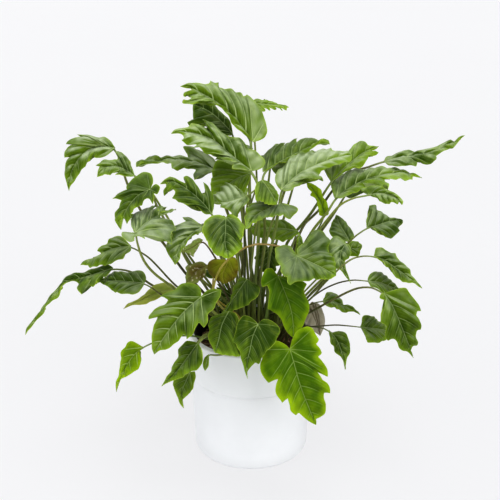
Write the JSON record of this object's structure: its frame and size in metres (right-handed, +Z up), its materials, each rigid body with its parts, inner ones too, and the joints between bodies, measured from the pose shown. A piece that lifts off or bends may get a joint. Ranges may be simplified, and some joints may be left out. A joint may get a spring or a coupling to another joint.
{
  "type": "potted philodendron xanadu",
  "caption": "Bushy aroid house plant with lobed leaves on long stalks, growing in a plain round matt pot with a proud upper band.",
  "frame": {"origin": "centre of the pot's underside, on the surface it stands on", "axes": "+Z up along the pot's axis; -Y is the front side; +X to the right of the front side"},
  "size_m": [0.7515, 0.5533, 0.6454],
  "materials": {
    "pot_glaze": "matt white",
    "growing_pot_plastic": "matt black",
    "bark": "rough, dark brown bark mix",
    "leaf_green": "leathery satin leaf, mid to dark green with yellow-green veins",
    "leaf_bright": "young leaf, bright yellow-green, satin",
    "leaf_pale": "leaf turning pale yellow at the tip",
    "leaf_old": "ageing leaf, olive yellow to brown",
    "leaf_withered": "withered, crumpled, dull brown",
    "leaf_dry": "dried, tan with brown streaks"
  },
  "bodies": {
    "root": {"bark_mix": "bark", "growing_pot": "growing_pot_plastic", "leaf_centre_back": "leaf_green", "leaf_centre_flat": "leaf_green", "leaf_centre_folded": "leaf_green", "leaf_centre_grey": "leaf_green", "leaf_centre_inner": "leaf_green", "leaf_centre_round": "leaf_green", "leaf_centre_small": "leaf_green", "leaf_crown_top": "leaf_green", "leaf_dried_tan": "leaf_dry", "leaf_front_bright": "leaf_bright", "leaf_front_heart": "leaf_green", "leaf_front_left_broad": "leaf_green", "leaf_front_lobed": "leaf_bright", "leaf_front_right_broad": "leaf_green", "leaf_front_upper": "leaf_green", "leaf_left_dark": "leaf_green", "leaf_left_far_arched": "leaf_green", "leaf_left_lobed": "leaf_green", "leaf_left_low_young": "leaf_bright", "leaf_left_outer": "leaf_green", "leaf_left_oval": "leaf_green", "leaf_left_pale": "leaf_green", "leaf_left_trailing": "leaf_green", "leaf_left_upper": "leaf_green", "leaf_left_upturned": "leaf_green", "leaf_left_yellow_tip": "leaf_pale", "leaf_old_yellow": "leaf_old", "leaf_pair_front_left": "leaf_green", "leaf_pair_right_inner": "leaf_green", "leaf_pair_rim_left": "leaf_green", "leaf_pair_withered": "leaf_withered", "leaf_right_back_tall": "leaf_green", "leaf_right_curled": "leaf_green", "leaf_right_drooping": "leaf_green", "leaf_right_far_long": "leaf_green", "leaf_right_grey": "leaf_green", "leaf_right_hanging": "leaf_green", "leaf_right_inner": "leaf_green", "leaf_right_long": "leaf_green", "leaf_right_low_oval": "leaf_green", "leaf_right_low_wide": "leaf_green", "leaf_right_narrow": "leaf_green", "leaf_right_small": "leaf_green", "leaf_right_wedge": "leaf_green", "leaf_top_broad": "leaf_green", "leaf_top_left_long": "leaf_green", "leaf_top_right_arched": "leaf_green", "leaf_top_right_broad": "leaf_green", "leaf_top_shaded": "leaf_green", "leaf_young_upright": "leaf_bright", "pot": "pot_glaze", "shoot_back_centre": "leaf_green", "shoot_back_left": "leaf_green", "shoot_back_left_low": "leaf_green", "shoot_back_right": "leaf_green", "shoot_back_right_low": "leaf_green", "shoot_centre_low": "leaf_green"}
  },
  "joints": []
}
